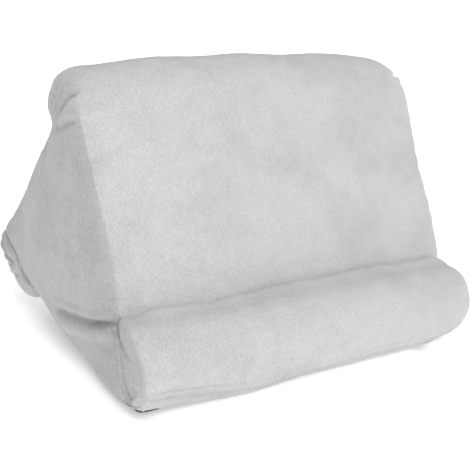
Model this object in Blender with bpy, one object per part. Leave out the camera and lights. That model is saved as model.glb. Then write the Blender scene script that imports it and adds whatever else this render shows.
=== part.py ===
# Tablet cushion stand: a foam wedge in a plush cover, with a rolled lip, a rolled top and a rolled rear foot.
# Metres, +Z up. The cushion stands on Z = 0 with the middle of its footprint at the origin and its lip at -Y.

import math

import bmesh
import bpy
import numpy as np

# Cover and fits
COVER_THICKNESS = 0.0025
SEAM_GAP = 0.0003
CORE_GAP = 0.0003

# Width, as half widths at the creases and rolls
CREASE_HALF_WIDTH = 0.148
TOP_FLARE = 0.0055
REAR_FLARE = 0.006
SIDE_CROWN = 0.005

# Lip roll at the front
LIP_RADIUS = 0.0365
LIP_CREASE_ANGLE = 68.0
LIP_SEAM_ANGLE = 215.0
GRIP_EDGE_ANGLE = 250.0
FLAT_LENGTH = 0.051

# Front face and top roll
FACE_SLOPE = 64.5
FACE_LENGTH = 0.143
TOP_FRONT_RADIUS = 0.057
TOP_FRONT_TURN = 60.0
TOP_BACK_RADIUS = 0.029
TOP_CREASE_ANGLE = -48.0

# Rear face and rear roll
REAR_SLOPE = 41.0
REAR_RADIUS = 0.045
REAR_CREASE_ANGLE = -139.0

# Rounding of the ends, as radii at the creases, faces and rolls
CREASE_END_RADIUS = 0.009
FACE_END_RADIUS = 0.010
TOP_END_RADIUS = 0.020
TOP_CREASE_END_RADIUS = 0.014
REAR_END_RADIUS = 0.016
BASE_END_RADIUS = 0.009
LIP_END_RADIUS = 0.019
ROLL_SWELL = 0.003
PLEAT_DEPTH = 0.0025

# Fineness of the facets
ARC_STEP = 14.0
FACE_STEPS = 4
END_ANGLES = (0.0, 30.0, 60.0)
MIDDLE_FRACTIONS = (-0.5, 0.0, 0.5)
SIDE_RINGS = (0.3, 0.65)
HUB_SCALE = 0.2
SHARP_ANGLE = 40.0

# Colours and roughness
PLUSH_GREY = (0.62, 0.62, 0.64)
GRIP_BLACK = (0.012, 0.012, 0.013)
FOAM_CREAM = (0.78, 0.74, 0.62)
PLUSH_ROUGHNESS = 0.9
GRIP_ROUGHNESS = 0.8
FOAM_ROUGHNESS = 0.95


def ray(degrees):
    return np.array([math.cos(math.radians(degrees)), math.sin(math.radians(degrees))])


class Station:
    # One point of the section, as (Y, Z), with what the ends need to know there

    def __init__(self, point, normal, hub, end_radius, half_width, swell=0.0, pleat=0.0):
        self.point = point
        self.normal = normal
        self.hub = hub
        self.end_radius = end_radius
        self.half_width = half_width
        self.swell = swell
        self.pleat = pleat


def blend(start, end, share):
    return start + (end - start) * share


def roll(centre, radius, start, end, radii, widths, swells, hub=None, pleated=False):
    # Stations round an arc that runs clockwise from start to end, in degrees
    steps = max(2, math.ceil(abs(end - start) / ARC_STEP))
    stations = []
    for step in range(steps + 1):
        share = step / steps
        direction = ray(blend(start, end, share))
        inside = 0 < step < steps
        stations.append(Station(
            centre + radius * direction, direction, centre if hub is None else hub,
            blend(radii[0], radii[1], share), blend(widths[0], widths[1], share),
            blend(swells[0], swells[1], share), float(pleated and inside and step % 2)))
    return stations


def neck(crease, normals, wall, along):
    # Half way from a crease to the wall that faces it, where the hubs of both sides pass
    inward = -(normals[0] + normals[1])
    grid = np.array([[inward[0], -along[0]], [inward[1], -along[1]]])
    reach = np.linalg.solve(grid, wall - crease)[0]
    return crease + inward * reach / 2.0


def straight(start, end, steps, hubs, radii, widths, swells=(0.0, 0.0)):
    # Stations along a straight run, whose hubs go through the given hub points
    along = (end - start) / np.linalg.norm(end - start)
    normal = np.array([-along[1], along[0]])
    stations = []
    for step in range(steps + 1):
        share = step / steps
        reach = share * (len(hubs) - 1)
        first = min(int(reach), len(hubs) - 2)
        hub = blend(hubs[first], hubs[first + 1], reach - first)
        stations.append(Station(
            blend(start, end, share), normal, hub, blend(radii[0], radii[1], share),
            blend(widths[0], widths[1], share), blend(swells[0], swells[1], share)))
    return stations


def join_runs(runs):
    # One closed loop of stations; where two runs meet, the normal becomes their mitre
    loop = []
    for index, run in enumerate(runs):
        before = runs[index - 1][-1]
        first = run[0]
        total = before.normal + first.normal
        mitre = total / (1.0 + float(np.dot(before.normal, first.normal)))
        loop.append(Station(first.point, mitre, first.hub, first.end_radius, first.half_width,
                            first.swell, first.pleat))
        loop.extend(run[1:-1])
    return loop


def make_section():
    # The closed section and the places along it where one panel ends and the next begins
    top_half = CREASE_HALF_WIDTH + TOP_FLARE
    rear_half = CREASE_HALF_WIDTH + REAR_FLARE
    face_up = ray(FACE_SLOPE)
    face_out = ray(FACE_SLOPE + 90.0)
    rear_down = ray(-REAR_SLOPE)
    rear_out = ray(90.0 - REAR_SLOPE)

    lip_hub = np.array([0.0, LIP_RADIUS])
    crease = lip_hub + LIP_RADIUS * ray(LIP_CREASE_ANGLE)
    face_top = crease + FACE_LENGTH * face_up
    front_hub = face_top - TOP_FRONT_RADIUS * face_out
    top_angle = FACE_SLOPE + 90.0 - TOP_FRONT_TURN
    top_hub = front_hub + (TOP_FRONT_RADIUS - TOP_BACK_RADIUS) * ray(top_angle)
    top_crease = top_hub + TOP_BACK_RADIUS * ray(TOP_CREASE_ANGLE)
    beside = top_crease - REAR_RADIUS * rear_out
    rear_hub = beside + rear_down * (beside[1] - REAR_RADIUS) / -rear_down[1]
    rear_low = rear_hub + REAR_RADIUS * rear_out
    rear_crease = rear_hub + REAR_RADIUS * ray(REAR_CREASE_ANGLE)
    flat_end = np.array([FLAT_LENGTH, 0.0])
    lip_low = np.array([0.0, 0.0])
    base_along = (flat_end - rear_crease) / np.linalg.norm(flat_end - rear_crease)
    base_out = np.array([-base_along[1], base_along[0]])

    middle = (lip_hub + top_hub + rear_hub) / 3.0
    lip_neck = neck(crease, (ray(LIP_CREASE_ANGLE), face_out), lip_low, ray(0.0))
    top_neck = neck(top_crease, (ray(TOP_CREASE_ANGLE), rear_out), crease, face_up)
    rear_neck = neck(rear_crease, (ray(REAR_CREASE_ANGLE), base_out), rear_low, rear_down)
    flat_hub = (middle + lip_neck) / 2.0

    front = straight(crease, face_top, FACE_STEPS, (lip_neck, middle, top_neck, top_hub),
                     (CREASE_END_RADIUS, FACE_END_RADIUS), (CREASE_HALF_WIDTH, top_half))
    top_front = roll(front_hub, TOP_FRONT_RADIUS, FACE_SLOPE + 90.0, top_angle,
                     (FACE_END_RADIUS, TOP_END_RADIUS), (top_half, top_half), (0.0, ROLL_SWELL), top_hub)
    top_back = roll(top_hub, TOP_BACK_RADIUS, top_angle, TOP_CREASE_ANGLE,
                    (TOP_END_RADIUS, TOP_CREASE_END_RADIUS), (top_half, top_half),
                    (ROLL_SWELL, 0.0), pleated=True)
    rear = straight(top_crease, rear_low, FACE_STEPS, (top_neck, middle, rear_neck, rear_hub),
                    (TOP_CREASE_END_RADIUS, FACE_END_RADIUS), (top_half, rear_half))
    rear_roll = roll(rear_hub, REAR_RADIUS, 90.0 - REAR_SLOPE, -90.0,
                     (FACE_END_RADIUS, REAR_END_RADIUS), (rear_half, rear_half), (0.0, 0.0), pleated=True)
    rear_under = roll(rear_hub, REAR_RADIUS, -90.0, REAR_CREASE_ANGLE,
                      (REAR_END_RADIUS, REAR_END_RADIUS), (rear_half, rear_half), (0.0, 0.0))
    base = straight(rear_crease, flat_end, FACE_STEPS, (rear_neck, middle, flat_hub),
                    (REAR_END_RADIUS, BASE_END_RADIUS), (rear_half, CREASE_HALF_WIDTH))
    flat = straight(flat_end, lip_low, 2, (flat_hub, lip_neck, lip_hub),
                    (BASE_END_RADIUS, BASE_END_RADIUS), (CREASE_HALF_WIDTH, CREASE_HALF_WIDTH))
    lip_widths = (CREASE_HALF_WIDTH, CREASE_HALF_WIDTH)
    grip_edge = roll(lip_hub, LIP_RADIUS, 270.0, GRIP_EDGE_ANGLE,
                     (BASE_END_RADIUS, LIP_END_RADIUS), lip_widths, (0.0, 0.0))
    strip = roll(lip_hub, LIP_RADIUS, GRIP_EDGE_ANGLE, LIP_SEAM_ANGLE,
                 (LIP_END_RADIUS, LIP_END_RADIUS), lip_widths, (0.0, ROLL_SWELL))
    lip_front = roll(lip_hub, LIP_RADIUS, LIP_SEAM_ANGLE, 90.0,
                     (LIP_END_RADIUS, LIP_END_RADIUS), lip_widths, (ROLL_SWELL, ROLL_SWELL))
    lip_back = roll(lip_hub, LIP_RADIUS, 90.0, LIP_CREASE_ANGLE,
                    (LIP_END_RADIUS, CREASE_END_RADIUS), lip_widths, (ROLL_SWELL, 0.0))

    named_runs = [
        ("front", front), ("front", top_front), ("front", top_back), ("rear", rear), ("rear", rear_roll),
        ("rear", rear_under), ("grip", base), ("grip", flat), ("grip", grip_edge), ("strip", strip),
        ("lip", lip_front), ("lip_back", lip_back)]
    loop = join_runs([run for name, run in named_runs])
    owners = [name for name, run in named_runs for step in run[:-1]]
    hubs = (lip_hub, top_hub, rear_hub)
    side_plane = np.linalg.solve([(1.0, *hub) for hub in hubs], (CREASE_HALF_WIDTH, top_half, rear_half))
    return loop, owners, side_plane


def centre_section(loop):
    # Moves the section along Y so that its footprint lies round Y = 0, and returns the move
    reach = [station.point[0] for station in loop]
    shift = np.array([-(min(reach) + max(reach)) / 2.0, 0.0])
    for station in loop:
        station.point = station.point + shift
        station.hub = station.hub + shift
    return shift


class Column:
    # One line of the skin across the section: on the tube, round the end or on the side

    def __init__(self, kind, side, value):
        self.kind = kind
        self.side = side
        self.value = value


def make_columns():
    end = [Column("end", -1, angle) for angle in reversed(END_ANGLES)]
    left = [Column("ring", -1, share) for share in (1.0, *reversed(SIDE_RINGS), 0.0)] + end
    right = [Column(column.kind, 1, column.value) for column in reversed(left)]
    middle = [Column("tube", 0, fraction) for fraction in MIDDLE_FRACTIONS]
    return left + middle + right


def smooth_step(share):
    return share * share * (3.0 - 2.0 * share)


def skin_point(station, column, depth, side_plane):
    # A point of the skin, or of the surface that lies depth below it
    radius = station.end_radius
    inset = station.swell + radius
    if column.kind == "tube":
        across = column.value * (station.half_width - radius)
        inset = depth + station.swell * column.value ** 2
    elif column.kind == "end":
        angle = math.radians(column.value)
        across = column.side * (station.half_width - radius + (radius - depth) * math.sin(angle))
        inset = station.swell + radius - (radius - depth) * math.cos(angle)
    place = station.point - inset * station.normal
    if column.kind == "ring":
        target = station.hub + HUB_SCALE * (station.point - station.hub)
        place = blend(place, target, column.value)
        middle_half = float(np.dot(side_plane, (1.0, *place))) + SIDE_CROWN
        half = blend(station.half_width, middle_half, smooth_step(column.value))
        pleat = station.pleat * PLEAT_DEPTH * (1.0 - column.value)
        across = column.side * (half - pleat - depth)
    return np.array([across, place[0], place[1]])


class Skin:
    # The whole closed surface of the cushion as a grid of stations and columns

    def __init__(self):
        self.loop, self.owners, side_plane = make_section()
        shift = centre_section(self.loop)
        self.side_plane = side_plane - np.array([np.dot(side_plane[1:], shift), 0.0, 0.0])
        self.columns = make_columns()

    def point(self, i, j, depth):
        return skin_point(self.loop[i % len(self.loop)], self.columns[j], depth, self.side_plane)

    def shifted(self, i, j, step_i, step_j, depth):
        # A rim point, drawn half a seam gap back from the seam into its own panel
        place = self.point(i, j, depth)
        moved = place.copy()
        for step_along, step_across in ((step_i, 0), (0, step_j)):
            if step_along or step_across:
                towards = self.point(i + step_along, j + step_across, depth) - place
                stretch = np.linalg.norm(self.loop[i % len(self.loop)].normal) if step_along else 1.0
                moved += towards * (stretch * SEAM_GAP / 2.0 / np.linalg.norm(towards))
        return moved


def rim_steps(cells, count, i, j):
    # Which way a vertex at a panel's rim draws back, along the section and across it
    present = {(di, dj): ((i + di) % count, j + dj) in cells for di in (-1, 0) for dj in (-1, 0)}
    if all(present.values()):
        return 0, 0
    back, ahead = (present[-1, -1] or present[-1, 0]), (present[0, -1] or present[0, 0])
    low, high = (present[-1, -1] or present[0, -1]), (present[-1, 0] or present[0, 0])
    if back and ahead and low and high:
        missing = [key for key, found in present.items() if not found]
        return (1 if missing[0][0] == -1 else -1), (1 if missing[0][1] == -1 else -1)
    return (0 if back and ahead else (1 if ahead else -1)), (0 if low and high else (1 if high else -1))


def panel_faces(cells, count, last_column):
    # Triangles of a panel's outer face, as (station, column) corners; column -1 and the last stand for caps
    faces = []
    for i, j in sorted(cells):
        following = (i + 1) % count
        if 0 <= j < last_column:
            a, b, c, d = (i, j), (following, j), (following, j + 1), (i, j + 1)
            faces.append((a, b, c))
            faces.append((a, c, d))
    return faces


def cap_corners(cells, count, cap_cell, column):
    # The corners round the middle of a side panel, in the order of the section
    members = [i for i in range(count) if (i, cap_cell) in cells]
    if not members:
        return []
    starts = [i for i in members if ((i - 1) % count, cap_cell) not in cells]
    first = starts[0] if starts else 0
    corners = [((first + step) % count, column) for step in range(len(members))]
    if starts:
        corners.append(((first + len(members)) % count, column))
    return corners


def new_object(name, bm, material):
    bmesh.ops.recalc_face_normals(bm, faces=bm.faces)
    mesh = bpy.data.meshes.new(name)
    bm.to_mesh(mesh)
    bm.free()
    mesh.materials.append(material)
    mesh.shade_smooth()
    mesh.set_sharp_from_angle(angle=math.radians(SHARP_ANGLE))
    thing = bpy.data.objects.new(name, mesh)
    bpy.context.scene.collection.objects.link(thing)
    return thing


def add_layer(bm, skin, cells, faces, caps, depth, flip):
    # One face of a sheet of cloth: its triangles and its flat middle parts
    count = len(skin.loop)
    corners = {corner for face in faces for corner in face}
    verts = {}
    for i, j in corners:
        verts[i, j] = bm.verts.new(skin.shifted(i, j, *rim_steps(cells, count, i, j), depth))
    made = []
    for face in faces + caps:
        ring = [verts[corner] for corner in face]
        made.append(bm.faces.new(reversed(ring) if flip else ring))
    wide = [face for face in made if len(face.verts) > 3]
    for face in wide:
        face.normal_update()
    bmesh.ops.triangulate(bm, faces=wide, ngon_method="EAR_CLIP")
    return verts


def rim_edges(faces):
    # Edges that only one face uses, in that face's own direction
    used = {(face[k - 1], face[k]) for face in faces for k in range(len(face))}
    return [edge for edge in used if (edge[1], edge[0]) not in used]


def make_panel(skin, name, cells, material):
    # A closed sheet of cloth over a set of the skin's cells
    count, last = len(skin.loop), len(skin.columns) - 1
    faces = panel_faces(cells, count, last)
    left_cap = cap_corners(cells, count, -1, 0)
    right_cap = cap_corners(cells, count, last, last)
    caps = [cap for cap in (left_cap[::-1], right_cap) if cap]
    bm = bmesh.new()
    outer = add_layer(bm, skin, cells, faces, caps, 0.0, False)
    inner = add_layer(bm, skin, cells, faces, caps, COVER_THICKNESS, True)
    for start, end in rim_edges(faces + caps):
        bm.faces.new((outer[end], outer[start], inner[start], inner[end]))
    return new_object(name, bm, material)


def make_core(skin, material):
    # The foam block that fills the cover
    count, last = len(skin.loop), len(skin.columns) - 1
    cells = {(i, j) for i in range(count) for j in range(-1, last + 1)}
    faces = panel_faces(cells, count, last)
    caps = [cap_corners(cells, count, -1, 0)[::-1], cap_corners(cells, count, last, last)]
    bm = bmesh.new()
    add_layer(bm, skin, cells, faces, caps, COVER_THICKNESS + CORE_GAP, False)
    return new_object("foam_core", bm, material)


def plain_material(name, colour, roughness):
    material = bpy.data.materials.new(name)
    material.use_nodes = True
    shader = material.node_tree.nodes["Principled BSDF"]
    shader.inputs["Base Color"].default_value = (*colour, 1.0)
    shader.inputs["Roughness"].default_value = roughness
    shader.inputs["Metallic"].default_value = 0.0
    material.diffuse_color = (*colour, 1.0)
    return material


def clear_scene():
    for thing in list(bpy.data.objects):
        bpy.data.objects.remove(thing, do_unlink=True)


def build():
    clear_scene()
    skin = Skin()
    count, last = len(skin.loop), len(skin.columns) - 1
    side_seams = (len(SIDE_RINGS) + 2, last - len(SIDE_RINGS) - 2)
    tube = range(side_seams[0], side_seams[1])
    left_side = range(-1, side_seams[0])
    right_side = range(side_seams[1], last + 1)
    stations = {name: [i for i in range(count) if skin.owners[i] == name] for name in set(skin.owners)}
    lip_ends = stations["lip"]
    other_ends = [i for i in range(count) if skin.owners[i] != "lip"]

    plush = plain_material("plush", PLUSH_GREY, PLUSH_ROUGHNESS)
    grip = plain_material("grip_cloth", GRIP_BLACK, GRIP_ROUGHNESS)
    foam = plain_material("foam", FOAM_CREAM, FOAM_ROUGHNESS)

    make_core(skin, foam)
    make_panel(skin, "front_panel", {(i, j) for i in stations["front"] for j in tube}, plush)
    make_panel(skin, "rear_panel", {(i, j) for i in stations["rear"] for j in tube}, plush)
    make_panel(skin, "grip_panel", {(i, j) for i in stations["grip"] for j in tube}, grip)
    make_panel(skin, "base_strip", {(i, j) for i in stations["strip"] for j in tube}, plush)
    lip_cells = {(i, j) for i in lip_ends + stations["lip_back"] for j in tube}
    lip_cells |= {(i, j) for i in lip_ends for j in (*left_side, *right_side)}
    make_panel(skin, "lip_panel", lip_cells, plush)
    make_panel(skin, "side_panel_left", {(i, j) for i in other_ends for j in left_side}, plush)
    make_panel(skin, "side_panel_right", {(i, j) for i in other_ends for j in right_side}, plush)


build()
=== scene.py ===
import math

import bpy
import numpy as np
from mathutils import Matrix, Vector
from mathutils.geometry import delaunay_2d_cdt


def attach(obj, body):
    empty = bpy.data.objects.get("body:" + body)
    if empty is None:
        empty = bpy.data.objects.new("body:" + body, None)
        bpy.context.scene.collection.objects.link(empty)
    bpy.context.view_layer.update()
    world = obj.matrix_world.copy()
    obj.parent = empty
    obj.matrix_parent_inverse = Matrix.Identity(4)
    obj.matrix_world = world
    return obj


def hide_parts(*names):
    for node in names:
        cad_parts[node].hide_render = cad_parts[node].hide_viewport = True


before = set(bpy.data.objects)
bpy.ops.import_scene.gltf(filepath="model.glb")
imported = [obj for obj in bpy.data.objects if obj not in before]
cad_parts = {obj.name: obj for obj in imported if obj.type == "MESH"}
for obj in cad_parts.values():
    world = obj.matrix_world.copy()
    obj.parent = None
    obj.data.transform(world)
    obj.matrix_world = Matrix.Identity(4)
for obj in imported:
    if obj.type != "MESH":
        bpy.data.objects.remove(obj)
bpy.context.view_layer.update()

bpy.context.scene.view_settings.view_transform = "Standard"

# Sizes below are in mm and degrees, in the frame's own axes
mm = 0.001

mesh = {
    "step": 2.3,       # space between the points of the cloth
    "sideStep": 1.9,   # and on the two sides
    "endSteps": 9,                            # points round the edge between a face and a side
    "seamAngle": 60.0,                        # where on that edge the side seam lies
    "smoothRounds": 2,
    "weltPoints": 48,                         # points along the ridged seam on a side
    "weltRows": (-3.4, -1.7, 1.7, 3.4),       # rows of points beside it, so that its ridge comes out clean
    "rowSpace": 1.2,                          # least space between those rows and a seam
    "netSpace": 4.4,                          # and between the ridged seam and the rest of the net
    "settleRounds": 1200,                     # how long the film over a side settles
}

cushion = {
    "creaseHalf": 148.0,                      # half the width, at the crease above the lip
    "topFlare": 5.5, "rearFlare": 6.0,        # how much wider that is at the top roll and at the rear roll
    "sideCrown": 6.5, "sideFullness": 0.75,   # how far a side bulges; below 1, it is fuller near its edge
    "swell": 3.0,                             # how far the rolls swell towards their middle
    "lipRadius": 36.5, "lipCreaseAngle": 68.0, "lipFrontAngle": 190.0, "lipSeamAngle": 215.0,
    "gripEdgeAngle": 245.0, "flatLength": 51.0,
    "faceSlope": 64.5, "faceLength": 143.0, "faceFoot": 0.25,   # the foot is a share of the length
    "topFrontRadius": 57.0, "topFrontTurn": 60.0, "topBackRadius": 29.0, "topCreaseAngle": -48.0,
    "rearSlope": 41.0, "rearRadius": 45.0, "rearCreaseAngle": -139.0,
    # how high the underside's cloth comes up the lip, and where more of it shows: from, to, height
    "blackEdge": 0.4, "blackShows": ((-160.0, -138.0, 5.0), (99.0, 113.0, 8.2)),
}

# how round the edge between the panels and a side is; the photo shows the left one tighter
rightEdge = {"crease": 9.0, "face": 8.5, "top": 20.0, "topCrease": 14.0, "rear": 16.0, "base": 9.0,
             "lip": 19.0, "lipLow": 19.0}
leftEdge = {"crease": 5.0, "face": 2.0, "top": 18.0, "topCrease": 12.0, "rear": 11.0, "base": 7.0,
            "lip": 3.5, "lipLow": 6.5}
# how much further out than the right end the left end is puffed
leftReach = {"crease": 5.0, "face": 0.0, "top": -3.5, "topCrease": -1.5, "rear": -0.5, "base": 0.5,
             "lip": 7.5, "lipLow": 5.0}


def ray(degrees):
    return np.array([math.cos(math.radians(degrees)), math.sin(math.radians(degrees))])


def mix(pair, share):
    return pair[0] + (pair[1] - pair[0]) * share


def smooth(share):
    share = np.clip(share, 0.0, 1.0)
    return share * share * (3.0 - 2.0 * share)


def ramp(values, start, length):
    return smooth((values - start) / length)


def bump(distance, width):
    return np.exp(-(distance / width) ** 2)


def softNoise(points, wavelength, seed, waves=14):
    # A smooth random field of about unit height, made of plane waves in random directions
    rng = np.random.default_rng(seed)
    total = np.zeros(points.shape[:-1])
    for _ in range(waves):
        direction = rng.normal(size=points.shape[-1])
        direction /= np.linalg.norm(direction)
        length = wavelength * rng.uniform(0.7, 1.5)
        total += np.sin(points @ direction * (2.0 * math.pi / length) + rng.uniform(0.0, 2.0 * math.pi))
    return total * math.sqrt(2.0 / waves)


def curve(points, steps=36):
    # A smooth line through a few points
    points = np.array(points, float)
    share = np.linspace(0.0, len(points) - 1.0, steps)
    padded = np.concatenate([[2 * points[0] - points[1]], points, [2 * points[-1] - points[-2]]])
    index = np.minimum(share.astype(int), len(points) - 2)
    t = (share - index)[:, None]
    a, b, c, d = (padded[index + k] for k in range(4))
    cubic = (3 * b - a - 3 * c + d) * t ** 3
    return 0.5 * (2 * b + (c - a) * t + (2 * a - 5 * b + 4 * c - d) * t ** 2 + cubic)


def lineDistance(places, line):
    # Distance from a line in the plane or in space, the side it is on (in the plane), and how far along
    best = np.full(len(places), 1e9)
    sign = np.ones(len(places))
    travel = np.zeros(len(places))
    passed = 0.0
    for start, stop in zip(line[:-1], line[1:]):
        step = stop - start
        length = np.linalg.norm(step)
        offset = places - start
        t = np.clip((offset @ step) / length ** 2, 0.0, 1.0)
        distance = np.linalg.norm(offset - t[:, None] * step, axis=1)
        nearer = distance < best
        best = np.where(nearer, distance, best)
        travel = np.where(nearer, passed + t * length, travel)
        if places.shape[1] == 2:
            cross = step[0] * offset[:, 1] - step[1] * offset[:, 0]
            sign = np.where(nearer, np.where(cross < 0.0, -1.0, 1.0), sign)
        passed += length
    return best, sign, travel, passed


def insidePolygon(places, polygon):
    inside = np.zeros(len(places), bool)
    for a, b in zip(polygon, np.roll(polygon, -1, 0)):
        crosses = (a[1] > places[:, 1]) != (b[1] > places[:, 1])
        reach = a[0] + (places[:, 1] - a[1]) * (b[0] - a[0]) / (b[1] - a[1] + 1e-12)
        inside ^= crosses & (places[:, 0] < reach)
    return inside


# The section of the cushion, run by run, clockwise from the crease above the lip


def addRun(runs, panel, points, normals, share, ends, halves, swells, lastNormal):
    runs.append({
        "panel": panel, "point": points, "normal": normals, "lastNormal": lastNormal,
        "leftEnd": mix([leftEdge[name] for name in ends], share),
        "rightEnd": mix([rightEdge[name] for name in ends], share),
        "leftHalf": mix(halves, share) + mix([leftReach[name] for name in ends], share),
        "rightHalf": mix(halves, share),
        "swell": mix(swells, share),
    })


def addArc(runs, panel, centre, radius, start, end, ends, halves, swells=(0.0, 0.0)):
    steps = max(3, round(radius * math.radians(abs(end - start)) / mesh["step"]))
    share = np.arange(steps) / steps
    angles = np.radians(start + (end - start) * share)
    normals = np.stack([np.cos(angles), np.sin(angles)], 1)
    addRun(runs, panel, centre + radius * normals, normals, share, ends, halves, swells, ray(end))


def addLine(runs, panel, start, end, ends, halves):
    length = np.linalg.norm(end - start)
    steps = max(3, round(length / mesh["step"]))
    share = np.arange(steps) / steps
    along = (end - start) / length
    normal = np.array([-along[1], along[0]])
    points, normals = start + share[:, None] * (end - start), np.tile(normal, (steps, 1))
    addRun(runs, panel, points, normals, share, ends, halves, (0.0, 0.0), normal)


def makeSection():
    half = cushion["creaseHalf"]
    topHalf = half + cushion["topFlare"]
    rearHalf = half + cushion["rearFlare"]
    swell = cushion["swell"]
    lipRadius, rearRadius = cushion["lipRadius"], cushion["rearRadius"]
    frontRadius, backRadius = cushion["topFrontRadius"], cushion["topBackRadius"]
    creaseAngle, frontAngle = cushion["lipCreaseAngle"], cushion["lipFrontAngle"]
    seamAngle, gripAngle = cushion["lipSeamAngle"], cushion["gripEdgeAngle"]
    faceUp, faceOut = ray(cushion["faceSlope"]), ray(cushion["faceSlope"] + 90.0)
    rearDown, rearOut = ray(-cushion["rearSlope"]), ray(90.0 - cushion["rearSlope"])
    topAngle = cushion["faceSlope"] + 90.0 - cushion["topFrontTurn"]

    lipHub = np.array([0.0, lipRadius])
    crease = lipHub + lipRadius * ray(creaseAngle)
    faceTop = crease + cushion["faceLength"] * faceUp
    frontHub = faceTop - frontRadius * faceOut
    topHub = frontHub + (frontRadius - backRadius) * ray(topAngle)
    topCrease = topHub + backRadius * ray(cushion["topCreaseAngle"])
    beside = topCrease - rearRadius * rearOut
    rearHub = beside + rearDown * (beside[1] - rearRadius) / -rearDown[1]
    rearLow = rearHub + rearRadius * rearOut
    rearCrease = rearHub + rearRadius * ray(cushion["rearCreaseAngle"])
    flatEnd, lipLow = np.array([cushion["flatLength"], 0.0]), np.array([0.0, 0.0])

    runs = []
    faceLow = crease + cushion["faceFoot"] * (faceTop - crease)
    lowHalf = half + cushion["faceFoot"] * cushion["topFlare"]
    addLine(runs, "front", crease, faceLow, ("crease", "face"), (half, lowHalf))
    addLine(runs, "front", faceLow, faceTop, ("face", "face"), (lowHalf, topHalf))
    addArc(runs, "front", frontHub, frontRadius, cushion["faceSlope"] + 90.0, topAngle, ("face", "top"),
           (topHalf, topHalf), (0.0, swell))
    addArc(runs, "front", topHub, backRadius, topAngle, cushion["topCreaseAngle"], ("top", "topCrease"),
           (topHalf, topHalf), (swell, 0.0))
    addLine(runs, "rear", topCrease, rearLow, ("topCrease", "rear"), (topHalf, rearHalf))
    addArc(runs, "rear", rearHub, rearRadius, 90.0 - cushion["rearSlope"], cushion["rearCreaseAngle"],
           ("rear", "rear"), (rearHalf, rearHalf))
    addLine(runs, "grip", rearCrease, flatEnd, ("rear", "base"), (rearHalf, half))
    addLine(runs, "grip", flatEnd, lipLow, ("base", "base"), (half, half))
    addArc(runs, "grip", lipHub, lipRadius, 270.0, gripAngle, ("base", "lipLow"), (half, half))
    addArc(runs, "strip", lipHub, lipRadius, gripAngle, seamAngle, ("lipLow", "lipLow"), (half, half),
           (0.0, swell))
    addArc(runs, "lip", lipHub, lipRadius, seamAngle, frontAngle, ("lipLow", "lip"), (half, half),
           (swell, swell))
    addArc(runs, "lip", lipHub, lipRadius, frontAngle, 90.0, ("lip", "lip"), (half, half), (swell, swell))
    addArc(runs, "lip", lipHub, lipRadius, 90.0, creaseAngle, ("lip", "crease"), (half, half), (swell, 0.0))

    keys = ("point", "normal", "leftEnd", "rightEnd", "leftHalf", "rightHalf", "swell")
    section = {key: np.concatenate([run[key] for run in runs]) for key in keys}
    section["panel"] = np.concatenate([[run["panel"]] * len(run["point"]) for run in runs])
    first = 0
    for index, run in enumerate(runs):
        before = runs[index - 1]["lastNormal"]
        section["normal"][first] = (before + run["normal"][0]) / (1.0 + float(before @ run["normal"][0]))
        first += len(run["point"])
    reach = section["point"][:, 0]
    section["point"] = section["point"] - (0.5 * (reach.min() + reach.max()), 0.0)
    return section


# The skin: a grid round the section and out to the rim of each side, then a fine net over each side


def makeGrid(section):
    endValues = np.linspace(0.0, 90.0, mesh["endSteps"] + 1)[1:]
    tubeValues = np.linspace(-1.0, 1.0, round(2.0 * cushion["creaseHalf"] / mesh["step"]) + 1)
    rounded = np.concatenate([np.ones(mesh["endSteps"]), np.zeros(len(tubeValues)), np.ones(mesh["endSteps"])])
    side = np.concatenate([-np.ones(mesh["endSteps"]), np.zeros(len(tubeValues)), np.ones(mesh["endSteps"])])
    value = np.concatenate([endValues[::-1], tubeValues, endValues])
    isLeft = (side < 0) | ((side == 0) & (value < 0))
    end = np.where(isLeft, section["leftEnd"][:, None], section["rightEnd"][:, None])
    half = np.where(isLeft, section["leftHalf"][:, None], section["rightHalf"][:, None])
    swell = section["swell"][:, None]
    angle = np.radians(value)
    inset = np.where(rounded > 0, swell + end - end * np.cos(angle), swell * value ** 2)
    place = section["point"][:, None, :] - inset[:, :, None] * section["normal"][:, None, :]
    across = np.where(rounded > 0, side * (half - end + end * np.sin(angle)), value * (half - end))
    seam = int(np.argmin(np.where(side < 0, abs(value - mesh["seamAngle"]), 999.0)))
    return np.concatenate([across[:, :, None], place], 2), seam


weltOnSide = {
    # the lip's ridged seam on each side, as (y, z), from the crease to the rim under the lip
    "left": [(-107.0, 60.0), (-112.5, 56.5), (-116.5, 50.0), (-117.8, 40.9), (-118.6, 27.5), (-120.0, 17.0),
             (-125.5, 11.5), (-133.0, 12.0)],
    "right": [(-107.0, 57.0), (-111.5, 54.0), (-115.5, 48.0), (-117.5, 40.0), (-119.0, 31.0), (-122.5, 27.5),
              (-127.0, 27.0)],
}


def linkedPairs(triangles):
    sides = np.concatenate([triangles[:, [0, 1]], triangles[:, [1, 2]], triangles[:, [2, 0]]])
    return np.unique(np.sort(sides, axis=1), axis=0)


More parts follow.
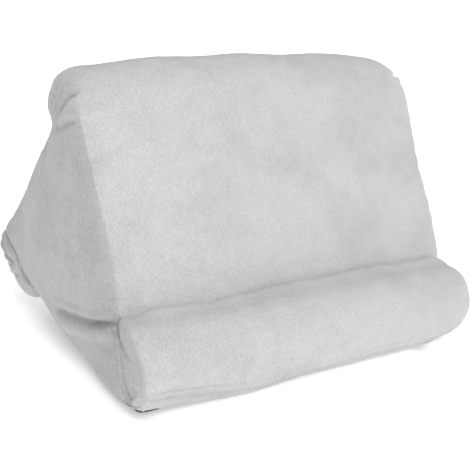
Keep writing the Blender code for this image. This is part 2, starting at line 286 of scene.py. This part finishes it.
def netSide(rim, rimHalf, isLip, seamSpots):
    # Points (y, z) and triangles over one side, which triangles belong to the lip's end, and the seam round it
    step = mesh["sideStep"]
    first = int(np.argmax(isLip))
    path = curve([rim[0], *seamSpots, rim[first]], mesh["weltPoints"])[1:-1]
    closed = np.concatenate([rim, rim[:1]])
    crossways = np.gradient(path, axis=0)[:, ::-1] * (-1.0, 1.0)
    crossways /= np.linalg.norm(crossways, axis=1, keepdims=True)
    beside = np.concatenate([path[3:-3] + offset * crossways[3:-3] for offset in mesh["weltRows"]])
    beside = beside[insidePolygon(beside, rim)]
    for line in (closed, path):
        beside = beside[lineDistance(beside, line)[0] > mesh["rowSpace"]]
    low, high = rim.min(0), rim.max(0)
    ys, zs = np.meshgrid(np.arange(low[0], high[0], step), np.arange(low[1], high[1], step * 0.866))
    ys = ys + (np.arange(len(zs)) % 2)[:, None] * step / 2.0
    inner = np.stack([ys.ravel(), zs.ravel()], 1)
    inner = inner[insidePolygon(inner, rim)]
    inner = inner[lineDistance(inner, closed)[0] > 0.55 * step]
    inner = inner[lineDistance(inner, path)[0] > mesh["netSpace"]]
    inner = np.concatenate([beside, inner])

    rimCount = len(rim)
    places = np.concatenate([rim, path, inner])
    edges = [(k, (k + 1) % rimCount) for k in range(rimCount)]
    chain = [0, *range(rimCount, rimCount + len(path)), first]
    edges += list(zip(chain[:-1], chain[1:]))
    _, _, faces, origins, _, _ = delaunay_2d_cdt([Vector(place) for place in places], edges, [], 1, 1e-6)
    back = [origin[0] for origin in origins]
    triangles = np.array([[back[v] for v in face] for face in faces])
    triangles = triangles[insidePolygon(places[triangles].mean(1), rim)]
    a, b, c = (places[triangles[:, k]] for k in range(3))
    turned = (b[:, 0] - a[:, 0]) * (c[:, 1] - a[:, 1]) - (b[:, 1] - a[:, 1]) * (c[:, 0] - a[:, 0]) < 0.0
    triangles[turned] = triangles[turned][:, ::-1]
    lipEnd = insidePolygon(places[triangles].mean(1), np.concatenate([rim[:1], path, rim[first:]]))
    pairs = linkedPairs(triangles)

    def settle(values, push):
        # a stretched film over the side, held at its rim
        degree = np.bincount(pairs.ravel(), minlength=len(values))
        for _ in range(mesh["settleRounds"]):
            total = np.bincount(pairs[:, 0], values[pairs[:, 1]], len(values))
            total += np.bincount(pairs[:, 1], values[pairs[:, 0]], len(values))
            values[rimCount:] = total[rimCount:] / degree[rimCount:] + push
        return values

    heights = settle(np.concatenate([rimHalf, np.full(len(places) - rimCount, rimHalf.mean())]), 0.0)
    dome = settle(np.zeros(len(places)), 0.01)
    heights += cushion["sideCrown"] * (dome / dome.max()) ** cushion["sideFullness"]
    return places, heights, triangles, lipEnd, chain


def gripHeight(x):
    # How high the black cloth comes up the lip, this far along it
    return max([cushion["blackEdge"]] + [top for low, high, top in cushion["blackShows"] if low < x < high])


def makeSkin():
    # One closed net: its points, its faces and the panel of each face
    grid, seam = makeGrid(section)
    count, across = grid.shape[:2]
    panelOf = section["panel"]
    lipMiddle = section["point"][:, 0].min() + cushion["lipRadius"]
    index = np.arange(count * across).reshape(count, across)
    points = [grid.reshape(-1, 3)]
    faces, labels, chains = [], [], []
    for i in range(count):
        for j in range(across - 1):
            faces.append((index[i, j], index[i, j + 1], index[(i + 1) % count, j + 1], index[(i + 1) % count, j]))
            panel = panelOf[i]
            x, y, z = grid[i, j]
            underLip = panel in ("grip", "strip") and y < lipMiddle
            onGrip = underLip and z < gripHeight(x)
            if underLip:
                panel = "grip" if onGrip else "strip"
            if panel != "lip" and not onGrip:
                panel = "left" if j < seam else "right" if j >= across - 1 - seam else panel
            labels.append(panel)
    total = count * across
    for column, sign, name in ((0, -1.0, "left"), (across - 1, 1.0, "right")):
        rim = grid[:, column, 1:]
        rimHalf = section[name + "Half"].copy()
        places, heights, triangles, lipEnd, chain = netSide(rim, rimHalf, panelOf == "lip", weltOnSide[name])
        mapping = np.concatenate([index[:, column], total + np.arange(len(places) - count)])
        points.append(np.column_stack([sign * heights[count:], places[count:]]))
        chains.append(mapping[chain])
        mapped = mapping[triangles]
        faces += [tuple(t) for t in (mapped if sign > 0 else mapped[:, ::-1])]
        labels += ["lip" if own else name for own in lipEnd]
        total += len(places) - count
    return {"points": np.concatenate(points), "faces": [[int(k) for k in face] for face in faces],
            "labels": np.array(labels), "grid": index, "seam": seam, "weltChains": chains}


def triangleRows(faces):
    secondHalves = [[face[0], face[2], face[3]] for face in faces if len(face) == 4]
    return np.array([face[:3] for face in faces] + secondHalves)


def pointNormals(points, triangles):
    a, b, c = (points[triangles[:, k]] for k in range(3))
    flat = np.cross(b - a, c - a)
    total = np.zeros_like(points)
    for k in range(3):
        for axis in range(3):
            total[:, axis] += np.bincount(triangles[:, k], flat[:, axis], len(points))
    return total / np.maximum(np.linalg.norm(total, axis=1, keepdims=True), 1e-9)


def smoothPoints(points, triangles, rounds, factor=0.5):
    pairs = linkedPairs(triangles)
    degree = np.bincount(pairs.ravel(), minlength=len(points))[:, None]
    for _ in range(rounds):
        total = np.zeros_like(points)
        for axis in range(3):
            total[:, axis] = np.bincount(pairs[:, 0], points[pairs[:, 1], axis], len(points))
            total[:, axis] += np.bincount(pairs[:, 1], points[pairs[:, 0], axis], len(points))
        points = points + factor * (total / degree - points)
    return points


print("frame loaded; making the section and the skin")
section = makeSection()
skin = makeSkin()
triangles = triangleRows(skin["faces"])
base = smoothPoints(skin["points"], triangles, mesh["smoothRounds"])
baseNormals = pointNormals(base, triangles)
print("skin:", len(base), "points,", len(triangles), "triangles")


# Seams, folds and puffs

sideFolds = {
    # name: line on the side as (y, z), depth, width, height of the puff beside it, and how far off that lies
    "sideCrease": [[(24, 33), (-22, 40), (-73, 51), (-104, 65)], 4.4, 2.8, 3.2, 8.5],
    "creaseEnd": [[(-50, 44), (-80, 54), (-98, 63), (-111, 70)], 3.4, 1.7, 1.2, -4.5],
    "creaseRidge": [[(20, 40), (-22, 47), (-62, 54)], -1.6, 3.2, 0.0, -5.0],
    "lipPleat": [[(-106, 66), (-120, 55), (-138, 47)], 1.6, 2.2, 0.5, -5.0],
    "sideValley": [[(-14, 22), (-62, 35), (-112, 50)], 2.2, 6.0, 0.0, 9.0],
    "topTuck": [[(-38, 220), (-24, 207), (-9, 191), (3, 172)], 5.2, 2.1, 1.8, -5.5],
    "topFold": [[(-44, 193), (-24, 188), (-3, 179)], 2.8, 2.6, 1.2, 6.0],
    "topPleatA": [[(-15, 219), (-4, 203), (6, 182)], 2.0, 1.8, 1.0, -4.0],
    "topPleatB": [[(0, 221), (7, 206), (12, 184)], 2.0, 1.8, 1.0, -4.0],
    "topPleatC": [[(16, 217), (17, 204), (17, 186)], 1.6, 1.8, 0.8, -4.0],
    "rearFold": [[(158, 72), (136, 64), (108, 52), (92, 36), (68, 24)], 3.6, 2.2, 2.2, 5.0],
    "rearTuck": [[(160, 50), (148, 48), (126, 44), (112, 40)], 3.2, 1.8, 1.2, -4.5],
    "rearPleatA": [[(154, 64), (142, 57), (122, 50)], 1.8, 2.2, 0.8, 5.0],
    "rearPleatB": [[(150, 30), (138, 34), (120, 38)], 1.8, 2.4, 0.8, -5.0],
    "rearPleatC": [[(140, 14), (128, 22), (108, 30)], 1.6, 2.4, 0.8, -5.0],
}

sideBulges = {
    # name: middle on the side as (y, z), how far it reaches along Y and Z, and its height
    "rearEnd": [(146, 56), (26, 22), 4.5],
    "lowerSide": [(-78, 9), (42, 15), 4.0],
    "puffedBand": [(-45, 32), (40, 9), 2.5],
    "lipEnd": [(-132, 45), (18, 24), 1.5],
}

# mm: the height, depth and width of each seam, and the puckers along it
welt = {
    "ridge": 2.6, "ridgeWidth": 1.7, "groove": 1.7, "grooveWidth": 1.4, "grooveOffset": 3.5,
    "pucker": 0.25, "puckerSize": 11.0, "puckerReach": 9.0,
    "strength": 0.6, "leftMore": 0.4, "rightLess": 0.4,   # it stands out most at the left end
    "turnLess": 0.6, "turnReach": 8.0,                    # and less where it turns under the lip
}
frontCrease = {"groove": 2.2, "width": 2.0, "pucker": 0.45, "puckerSize": 18.0, "puckerReach": 11.0}
mainCrease = {"groove": 2.6, "width": 2.6, "pucker": 0.6, "puckerSize": 16.0, "puckerReach": 12.0}
plainSeam = {"groove": 0.35, "width": 2.4, "pucker": 0.2, "puckerSize": 13.0, "puckerReach": 9.0}

softness = {
    "lumps": 0.65, "lumpSize": 90.0, "ripples": 0.12, "rippleSize": 17.0,
    "faceCrown": 2.4, "faceReach": 150.0,                   # the crown of the face fades out this far out
    "creaseFill": 4.4, "fillBack": 7.0, "fillWidth": 7.5,   # how full the lip stays, just before the crease
    "grooveFade": 0.75,                                     # how much shallower a crease is at its ends
    "topDrop": 4.0, "creaseSag": 4.5, "creaseWidth": 24.0,
    "leftSag": 4.0, "leftSagMiddle": -100.0, "leftSagWidth": 65.0,
    "rearLift": 10.0, "cornerLift": 4.5, "liftBelow": 50.0, "seamLift": 4.5, "seamWidth": 13.0,
    "cornerReach": 13.0, "cornerRounds": 4,                 # the lip's lower corners are worked smooth
}

ranges = {
    # name: where a change begins, and the length over which it grows to its full size
    "weltLeft": (70.0, 60.0), "weltRight": (115.0, 25.0), "grooveEnd": (128.0, 16.0),
    "sideFacing": (0.1, 0.4), "sideOut": (105.0, 40.0),
    "topHigh": (185.0, 30.0), "topLeft": (60.0, 100.0), "sagFromLeft": (-150.0, 60.0),
    "rearLeft": (85.0, 55.0), "rearBack": (25.0, 45.0),
    "cornerOut": (60.0, 80.0), "cornerFront": (95.0, 40.0), "seamLeft": (60.0, 80.0),
}

sideFrom = 100.0         # how far out from the middle the sides begin
foldFade = (0.25, 0.2)   # the shares of a fold's line over which it comes in and fades out
sideStyles = {
    # side: its direction along X, how strong its folds are, and how far they stray from the places above
    "left": (-1.0, 1.0, 0.0), "right": (1.0, 0.85, 2.0),
}


def firstOf(panel):
    return int(np.argmax(section["panel"] == panel))


def crossLine(station, columnStep=4):
    grid, seam = skin["grid"], skin["seam"]
    return base[grid[station, seam:grid.shape[1] - seam:columnStep]]


def endLine(column):
    return base[skin["grid"][0:firstOf("lip"):3, column]]


def weltLine():
    # The ridged seam of the lip panel: down both ends of the lip and along under it
    left, right = skin["weltChains"]
    return base[np.concatenate([left, skin["grid"][firstOf("lip"), 1:-1:2], right[::-1]])]


def seamHeight(line, style, seed):
    # A groove with puckers drawn out from it
    distance, _, travel, _ = lineDistance(base, line)
    wave = softNoise(np.stack([travel, distance * 0.35], 1), style["puckerSize"], seed)
    reach = np.exp(-distance / style["puckerReach"])
    pucker = style["pucker"] * wave * reach * smooth(distance / 3.0)
    return pucker - style["groove"] * bump(distance, style["width"])


def weltHeight():
    x = base[:, 0]
    distance, _, travel, _ = lineDistance(base, weltLine())
    profile = welt["ridge"] * bump(distance, welt["ridgeWidth"])
    profile -= welt["groove"] * bump(distance - welt["grooveOffset"], welt["grooveWidth"])
    wave = softNoise(travel[:, None], welt["puckerSize"], 41)
    fade = (welt["strength"] + welt["leftMore"] * ramp(-x, *ranges["weltLeft"])
            - welt["rightLess"] * ramp(x, *ranges["weltRight"]))
    for chain in skin["weltChains"]:
        turnDistance = np.linalg.norm(base - base[chain[-1]], axis=1)
        fade = fade * (1.0 - welt["turnLess"] * bump(turnDistance, welt["turnReach"]))
    return fade * profile + welt["pucker"] * wave * np.exp(-distance / welt["puckerReach"])


def foldHeight(places, fold, scale=1.0):
    points, depth, width, puff, offset = fold
    distance, sign, travel, length = lineDistance(places, curve(points))
    share = travel / length
    taper = smooth(share / foldFade[0]) * smooth((1.0 - share) / foldFade[1])
    beside = puff * bump(sign * distance - offset, abs(offset) * 0.7)
    return scale * taper * (beside - depth * bump(distance, width))


def seamsAndCrown():
    # How far each point of the skin moves along its normal, apart from the folds of the sides
    x, places = base[:, 0], base[:, 1:]
    height = softness["lumps"] * softNoise(base, softness["lumpSize"], 11)
    height += softness["ripples"] * softNoise(base, softness["rippleSize"], 12)
    # the soft crown of the sloping face
    crease, up = section["point"][0], ray(cushion["faceSlope"])
    share = ((places - crease) @ up) / cushion["faceLength"]
    faceOut = np.array([0.0, *ray(cushion["faceSlope"] + 90.0)])
    onFace = np.clip((baseNormals @ faceOut - 0.7) / 0.3, 0.0, 1.0)
    towardsEnds = np.clip(abs(x) / softness["faceReach"], 0.0, 1.0)
    crown = np.sin(math.pi * np.clip(share, 0.0, 1.0)) * (1.0 - towardsEnds ** 3)
    height += softness["faceCrown"] * crown * onFace
    # seams from side to side, down the ends, and the ridged one round the lip
    inward = 1.0 - softness["grooveFade"] * ramp(abs(x), *ranges["grooveEnd"])
    for panel, style, seed in (("front", frontCrease, 21), ("rear", mainCrease, 22), ("grip", mainCrease, 23)):
        height += seamHeight(crossLine(firstOf(panel)), style, seed) * inward
    # the lip stays full up to the crease, which leaves a narrow valley behind its crown
    lipBack = section["point"][-round(softness["fillBack"] / mesh["step"])]
    fullness = bump(np.linalg.norm(places - lipBack, axis=1), softness["fillWidth"])
    height += softness["creaseFill"] * fullness * inward
    for column, seed in ((skin["seam"], 31), (skin["grid"].shape[1] - 1 - skin["seam"], 32)):
        height += seamHeight(endLine(column), plainSeam, seed)
    return height + weltHeight()


def shapeSides(shaped):
    # Folds and bulges of the two sides
    x, places = base[:, 0], base[:, 1:]
    for sign, scale, stray in sideStyles.values():
        weight = ramp(sign * baseNormals[:, 0], *ranges["sideFacing"]) * (sign * x > sideFrom)
        rows = np.flatnonzero(weight > 0.0)
        spots = places[rows]
        spots = spots + stray * np.stack([softNoise(spots, 60.0, seed) for seed in (51, 52)], 1)
        rise = np.zeros(len(rows))
        for fold in sideFolds.values():
            rise += foldHeight(spots, fold, scale)
        shaped[rows] += baseNormals[rows] * (weight[rows] * rise)[:, None]
        near = np.flatnonzero(sign * x > sideFrom)
        push = np.zeros(len(near))
        for middle, reach, amount in sideBulges.values():
            away = (places[near] - middle) / reach
            push += amount * np.exp(-(away ** 2).sum(1))
        shaped[near, 0] += sign * push * ramp(sign * x[near], *ranges["sideOut"])


def sagAndLift(shaped):
    x, y, z = base.T
    # the top roll dips towards its left end, and the crease above the lip sags left of its middle
    shaped[:, 2] -= softness["topDrop"] * ramp(z, *ranges["topHigh"]) * ramp(-x, *ranges["topLeft"])
    creaseDistance = np.linalg.norm(base[:, 1:] - section["point"][0], axis=1)
    leftSag = softness["leftSag"] * bump(x - softness["leftSagMiddle"], softness["leftSagWidth"])
    sag = softness["creaseSag"] * ramp(x, *ranges["sagFromLeft"]) + leftSag
    shaped[:, 2] -= sag * bump(creaseDistance, softness["creaseWidth"])
    # the left end of the rear roll and the corners under the lip are drawn up off the floor
    low = 1.0 - smooth(z / softness["liftBelow"])
    shaped[:, 2] += softness["rearLift"] * low * ramp(-x, *ranges["rearLeft"]) * ramp(y, *ranges["rearBack"])
    corner = softness["cornerLift"] * low * ramp(abs(x), *ranges["cornerOut"])
    shaped[:, 2] += corner * ramp(-y, *ranges["cornerFront"])
    seamDistance = np.linalg.norm(base[:, 1:] - section["point"][firstOf("lip")], axis=1)
    nearSeam = bump(seamDistance, softness["seamWidth"])
    shaped[:, 2] += softness["seamLift"] * nearSeam * ramp(-x, *ranges["seamLeft"])


def shapeSkin():
    shaped = base + baseNormals * seamsAndCrown()[:, None]
    shapeSides(shaped)
    sagAndLift(shaped)
    # the corner where the ridged seam turns under the lip is worked smooth
    for column in (0, skin["grid"].shape[1] - 1):
        corner = base[skin["grid"][firstOf("lip"), column]]
        near = bump(np.linalg.norm(base - corner, axis=1), softness["cornerReach"])[:, None]
        shaped = shaped + near * (smoothPoints(shaped, triangles, softness["cornerRounds"]) - shaped)
    shaped[:, 2] = np.maximum(shaped[:, 2], 0.0)
    return shaped


shaped = shapeSkin()
normals = pointNormals(shaped, triangles)
print("seams, folds and puffs are in")


# Materials


def linear(hexColour):
    values = [int(hexColour[k:k + 2], 16) / 255.0 for k in (1, 3, 5)]
    return tuple(v / 12.92 if v <= 0.04045 else ((v + 0.055) / 1.055) ** 2.4 for v in values) + (1.0,)


def addNode(tree, kindName, settings=None, links=None):
    # One node with its settings; a setting or link is named by attribute, socket name or socket number
    node = tree.nodes.new(kindName)
    for key, entry in (settings or {}).items():
        if isinstance(key, str) and hasattr(node, key):
            setattr(node, key, entry)
        else:
            node.inputs[key].default_value = entry
    for key, source in (links or {}).items():
        tree.links.new(source, node.inputs[key])
    return node


def newMaterial(name):
    material = bpy.data.materials.new(name)
    material.use_nodes = True
    tree = material.node_tree
    tree.nodes.clear()
    return material, tree


plush = {
    "colour": "#b9b9ba", "shade": "#b1b1b3",
    "cloudSize": 60.0, "cloudRange": (0.36, 0.56),   # mm; patches where the nap lies another way
    "brushSize": 11.0,            # mm, finger-wide strokes in the nap
    "brushTone": 0.025,           # how much lighter or darker a stroke is
    "brushDepth": 1.2,            # mm
    "pileLength": 2.1,            # mm, drawn coarser than the real tufts of half a millimetre, so that it shows
    "pileWidth": 1.0, "pileDepth": 0.4, "pileTone": 0.1,
    "bendSize": 22.0, "bend": 6.0,       # mm, how the strokes and the pile wander
    "endsAt": 150.0,              # mm from the middle, where the values of the ends hold
    "roughUp": (1.0, 0.45),       # how much the pile stands out at the left end and at the right end
    "widthTone": (0.985, 0.945),    # how light the colour is at the left end and at the right end: a little darker towards the right
}
noiseRange = {"From Min": 0.3, "From Max": 0.7}      # what nearly all of a noise lies between


def plushMaterial():
    # Short-pile polyester plush, brushed and cropped: a soft matt face with a pale sheen at the edges,
    # clouded where the nap lies another way, and a fine streaky pile that runs up the face and over the rolls
    material, tree = newMaterial("brushed plush")
    space = addNode(tree, "ShaderNodeTexCoord").outputs["Object"]
    warp = addNode(tree, "ShaderNodeTexNoise", {"Scale": 1000.0 / plush["bendSize"], "Detail": 2.0},
                   {"Vector": space})
    bent = addNode(tree, "ShaderNodeVectorMath", {"operation": "MULTIPLY_ADD", 1: (plush["bend"] * mm,) * 3},
                   {0: warp.outputs["Color"], 2: space}).outputs[0]
    cloud = addNode(tree, "ShaderNodeTexNoise",
                    {"Scale": 1000.0 / plush["cloudSize"], "Detail": 3.0, "Roughness": 0.6},
                    {"Vector": space}).outputs[0]
    brush = addNode(tree, "ShaderNodeTexNoise",
                    {"Scale": 1000.0 / plush["brushSize"], "Detail": 2.0, "Roughness": 0.6},
                    {"Vector": bent}).outputs[0]
    lengthScale, widthScale = 1000.0 / plush["pileLength"], 1000.0 / plush["pileWidth"]
    combed = addNode(tree, "ShaderNodeVectorMath",
                     {"operation": "MULTIPLY", 1: (widthScale, lengthScale, lengthScale)}, {0: bent}).outputs[0]
    pile = addNode(tree, "ShaderNodeTexNoise", {"Scale": 1.0, "Detail": 1.0, "Roughness": 0.6},
                   {"Vector": combed}).outputs[0]

    # from the left end to the right end the pile lies down, and the colour turns a little darker
    across = addNode(tree, "ShaderNodeSeparateXYZ", None, {0: space}).outputs[0]
    widthRange = {"From Min": -plush["endsAt"] * mm, "From Max": plush["endsAt"] * mm}
    leftRough, rightRough = plush["roughUp"]
    roughUp = addNode(tree, "ShaderNodeMapRange", {**widthRange, "To Min": leftRough, "To Max": rightRough},
                      {"Value": across}).outputs[0]
    leftTone, rightTone = plush["widthTone"]
    # the colour turns a little darker from the left end to the right end
    nap = addNode(tree, "ShaderNodeMapRange", {**widthRange, "To Min": leftTone, "To Max": rightTone},
                  {"Value": across}).outputs[0]

    clouds = addNode(tree, "ShaderNodeValToRGB", None, {"Fac": cloud})
    stops = zip(clouds.color_ramp.elements, plush["cloudRange"], (plush["shade"], plush["colour"]))
    for stop, place, hexColour in stops:
        stop.position, stop.color = place, linear(hexColour)
    strokes = addNode(tree, "ShaderNodeMapRange",
                      {**noiseRange, "To Min": 1.0 - plush["brushTone"], "To Max": 1.0 + plush["brushTone"]},
                      {"Value": brush}).outputs[0]
    tone = addNode(tree, "ShaderNodeMapRange",
                   {**noiseRange, "To Min": -plush["pileTone"], "To Max": plush["pileTone"]},
                   {"Value": pile}).outputs[0]
    hairs = addNode(tree, "ShaderNodeMath", {"operation": "MULTIPLY_ADD"},
                    {0: tone, 1: roughUp, 2: nap}).outputs[0]
    shading = addNode(tree, "ShaderNodeMath", {"operation": "MULTIPLY"}, {0: strokes, 1: hairs}).outputs[0]
    colour = addNode(tree, "ShaderNodeVectorMath", {"operation": "SCALE"},
                     {0: clouds.outputs[0], "Scale": shading}).outputs[0]

    brushBump = addNode(tree, "ShaderNodeBump", {"Strength": 0.35, "Distance": plush["brushDepth"] * mm},
                        {"Height": brush}).outputs[0]
    pileBump = addNode(tree, "ShaderNodeBump", {"Distance": plush["pileDepth"] * mm},
                       {"Height": pile, "Normal": brushBump, "Strength": roughUp}).outputs[0]
    shader = addNode(tree, "ShaderNodeBsdfPrincipled",
                     {"Roughness": 0.92, "IOR": 1.47, "Specular IOR Level": 0.25, "Sheen Weight": 0.12,
                      "Sheen Roughness": 0.45}, {"Base Color": colour, "Normal": pileBump})
    addNode(tree, "ShaderNodeOutputMaterial", None, {"Surface": shader.outputs[0]})
    return material


gripCloth = {
    "colour": "#141415", "dot": "#242426",
    "dotSpacing": 4.0, "dotEdge": (0.22, 0.30), "dotHeight": 0.6,   # mm; the edge is a share of the spacing
    "weave": 1.2, "weaveDepth": 0.3,   # mm, about four times as coarse as the real threads, so that it shows
}


def gripMaterial():
    # Black polyester non-slip cloth: a tight matt weave set with small rubbery dots that catch a little light
    material, tree = newMaterial("dotted non-slip cloth")
    space = addNode(tree, "ShaderNodeTexCoord").outputs["Object"]
    place = addNode(tree, "ShaderNodeVectorMath", {"operation": "MULTIPLY", 1: (1.0, 1.0, 0.0)},
                    {0: space}).outputs[0]
    cells = addNode(tree, "ShaderNodeTexVoronoi", {"Scale": 1000.0 / gripCloth["dotSpacing"], "Randomness": 0.0},
                    {"Vector": place})
    inside, outside = gripCloth["dotEdge"]
    dots = addNode(tree, "ShaderNodeMapRange",
                   {"From Min": inside, "From Max": outside, "To Min": 1.0, "To Max": 0.0},
                   {"Value": cells.outputs["Distance"]}).outputs[0]
    weave = addNode(tree, "ShaderNodeTexNoise", {"Scale": 1000.0 / gripCloth["weave"], "Detail": 2.0},
                    {"Vector": place}).outputs[0]
    colour = addNode(tree, "ShaderNodeMix",
                     {"data_type": "RGBA", 6: linear(gripCloth["colour"]), 7: linear(gripCloth["dot"])},
                     {0: dots}).outputs[2]
    rough = addNode(tree, "ShaderNodeMapRange", {"To Min": 0.85, "To Max": 0.5}, {"Value": dots}).outputs[0]
    weaveBump = addNode(tree, "ShaderNodeBump", {"Strength": 0.4, "Distance": gripCloth["weaveDepth"] * mm},
                        {"Height": weave}).outputs[0]
    dotBump = addNode(tree, "ShaderNodeBump", {"Strength": 0.8, "Distance": gripCloth["dotHeight"] * mm},
                      {"Height": dots, "Normal": weaveBump}).outputs[0]
    shader = addNode(tree, "ShaderNodeBsdfPrincipled", {"IOR": 1.5, "Specular IOR Level": 0.3},
                     {"Base Color": colour, "Roughness": rough, "Normal": dotBump})
    addNode(tree, "ShaderNodeOutputMaterial", None, {"Surface": shader.outputs[0]})
    return material


foamBlock = {"colour": "#e6dcbc", "poreColour": "#cfc39d", "poreSize": 1.6, "poreDepth": 0.5, "fill": 0.85}


def foamMaterial():
    # Open-cell polyurethane foam, cut: matt, cream, with fine pores
    material, tree = newMaterial("open-cell foam")
    space = addNode(tree, "ShaderNodeTexCoord").outputs["Object"]
    pores = addNode(tree, "ShaderNodeTexVoronoi", {"Scale": 1000.0 / foamBlock["poreSize"]},
                    {"Vector": space}).outputs["Distance"]
    tones = addNode(tree, "ShaderNodeValToRGB", None, {"Fac": pores})
    tones.color_ramp.elements[0].color = linear(foamBlock["poreColour"])
    tones.color_ramp.elements[1].color = linear(foamBlock["colour"])
    dimple = addNode(tree, "ShaderNodeBump", {"Strength": 0.5, "Distance": foamBlock["poreDepth"] * mm},
                     {"Height": pores}).outputs[0]
    shader = addNode(tree, "ShaderNodeBsdfPrincipled", {"Roughness": 0.95, "IOR": 1.45, "Specular IOR Level": 0.2},
                     {"Base Color": tones.outputs[0], "Normal": dimple})
    addNode(tree, "ShaderNodeOutputMaterial", None, {"Surface": shader.outputs[0]})
    return material


studioPaper = {
    "colour": "#f7f7f7", "glow": 0.41,
    "flatReach": 200.0, "curlReach": 260.0, "curlHeight": 26.0,   # metres; it lies flat and curls up far away
}


def paperMaterial():
    # Matt white studio paper, lit a little from below so that it stays as pale as the photo's background
    material, tree = newMaterial("matt studio paper")
    grain = addNode(tree, "ShaderNodeTexNoise", {"Scale": 260.0, "Detail": 3.0}).outputs[0]
    dimple = addNode(tree, "ShaderNodeBump", {"Strength": 0.05, "Distance": 0.5 * mm},
                     {"Height": grain}).outputs[0]
    shader = addNode(tree, "ShaderNodeBsdfPrincipled",
                     {"Base Color": linear(studioPaper["colour"]), "Roughness": 0.9, "IOR": 1.45,
                      "Specular IOR Level": 0.1, "Emission Color": linear("#ffffff"),
                      "Emission Strength": studioPaper["glow"]}, {"Normal": dimple})
    addNode(tree, "ShaderNodeOutputMaterial", None, {"Surface": shader.outputs[0]})
    return material


# Pieces: every cloth panel is a closed sheet cut from the skin, and the foam fills what is left

coverThickness = 2.0
foamInset = 3.2       # how far the foam lies inside the cover's face
foamClearance = 0.3   # between it and the cloth under it


def makeMesh(name, points, faces, loopNormals, material):
    data = bpy.data.meshes.new(name)
    data.from_pydata((points * mm).tolist(), [], faces)
    data.materials.append(material)
    data.shade_smooth()
    if loopNormals is not None:
        data.normals_split_custom_set(loopNormals)
    piece = bpy.data.objects.new(name, data)
    bpy.context.scene.collection.objects.link(piece)
    return piece


def makeSheet(name, label, material):
    faces = [face for face, own in zip(skin["faces"], skin["labels"] == label) if own]
    corners = sorted({corner for face in faces for corner in face})
    index = {corner: k for k, corner in enumerate(corners)}
    rows = np.array(corners)
    outer = shaped[rows]
    inner = outer - coverThickness * normals[rows]
    used = {(face[k - 1], face[k]) for face in faces for k in range(len(face))}
    rim = sorted(edge for edge in used if (edge[1], edge[0]) not in used)
    n = len(corners)
    front = [[index[c] for c in face] for face in faces]
    back = [[n + k for k in face[::-1]] for face in front]
    wall = [[index[b], index[a], n + index[a], n + index[b]] for a, b in rim]
    # the outside keeps the whole skin's normals, so that light runs over a seam without a step
    loopNormals = [tuple(normals[rows[k]]) for face in front for k in face]
    loopNormals += [tuple(-normals[rows[k - n]]) for face in back for k in face]
    points = np.concatenate([outer, inner])
    for face in wall:
        a, b, c, d = points[face]
        turned = np.cross(c - a, d - b)
        loopNormals += [tuple(turned / max(np.linalg.norm(turned), 1e-9))] * 4
    return makeMesh(name, points, front + back + wall, loopNormals, material)


def makeFoam():
    inside = smoothPoints(shaped - foamInset * normals, triangles, 2)
    inside[:, 2] = np.maximum(inside[:, 2], coverThickness + foamClearance)
    return makeMesh("foamFilling", inside, skin["faces"], None, foamMaterial())


def placePiece(piece, node):
    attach(piece, "root")
    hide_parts(node)


sheets = {
    # panel: the piece's name, and the solid that it stands for
    "front": ("frontPanel", "front_panel"),
    "rear": ("rearPanel", "rear_panel"),
    "grip": ("gripPanel", "grip_panel"),
    "strip": ("baseStrip", "base_strip"),
    "lip": ("lipPanel", "lip_panel"),
    "left": ("sidePanelLeft", "side_panel_left"),
    "right": ("sidePanelRight", "side_panel_right"),
}

print("cutting the panels")
foam = makeFoam()
placePiece(foam, "foam_core")
plushCloth, blackCloth = plushMaterial(), gripMaterial()
for label, (name, node) in sheets.items():
    piece = makeSheet(name, label, blackCloth if label == "grip" else plushCloth)
    placePiece(piece, node)


# Floor, light and camera


def addFloor():
    corners = ((-1, -1), (1, -1), (1, 1), (-1, 1))
    flat, curl = studioPaper["flatReach"], studioPaper["curlReach"]
    points = [(sx * flat, sy * flat, 0.0) for sx, sy in corners]
    points += [(sx * curl, sy * curl, studioPaper["curlHeight"]) for sx, sy in corners]
    faces = [(0, 1, 2, 3)] + [(k, k + 4, (k + 1) % 4 + 4, (k + 1) % 4) for k in range(4)]
    data = bpy.data.meshes.new("studioFloor")
    data.from_pydata(points, [], faces)
    data.materials.append(paperMaterial())
    floor = bpy.data.objects.new("studioFloor", data)
    bpy.context.scene.collection.objects.link(floor)


lights = {
    # name: where the light comes from, its strength in W per square metre, and how wide it looks in degrees
    "frontSoftbox": ((0.1, -2.0, 1.55), 1.98, 35.0),
    "topSoftbox": ((0.2, 0.3, 2.2), 0.65, 70.0),
}
skyStrength = 0.42


def addLights():
    for name, (place, strength, width) in lights.items():
        data = bpy.data.lights.new(name, "SUN")
        data.energy = strength
        data.angle = math.radians(width)
        light = bpy.data.objects.new(name, data)
        light.location = place
        light.rotation_euler = (-Vector(place)).to_track_quat("-Z", "Y").to_euler()
        bpy.context.scene.collection.objects.link(light)
    world = bpy.data.worlds.new("paleStudio")
    world.use_nodes = True
    background = world.node_tree.nodes["Background"]
    background.inputs["Color"].default_value = linear("#ffffff")
    background.inputs["Strength"].default_value = skyStrength
    bpy.context.scene.world = world


camera = {
    "place": (-355.4, -582.9, 275.8),   # mm
    "heading": 31.70, "dip": 16.17, "roll": 1.29,   # degrees: from +Y towards +X, down, and to the left
    "lens": 62.47,                      # mm, on a 36 mm sensor
}


def addCamera():
    data = bpy.data.cameras.new("photoCamera")
    data.lens = camera["lens"]
    data.sensor_width = 36.0
    item = bpy.data.objects.new("photoCamera", data)
    turn = (Matrix.Rotation(math.radians(-camera["heading"]), 4, "Z")
            @ Matrix.Rotation(math.radians(90.0 - camera["dip"]), 4, "X")
            @ Matrix.Rotation(math.radians(camera["roll"]), 4, "Z"))
    item.matrix_world = Matrix.Translation(Vector(camera["place"]) * mm) @ turn
    bpy.context.scene.collection.objects.link(item)
    bpy.context.scene.camera = item


addFloor()
addLights()
addCamera()
print("floor, light and camera are set")
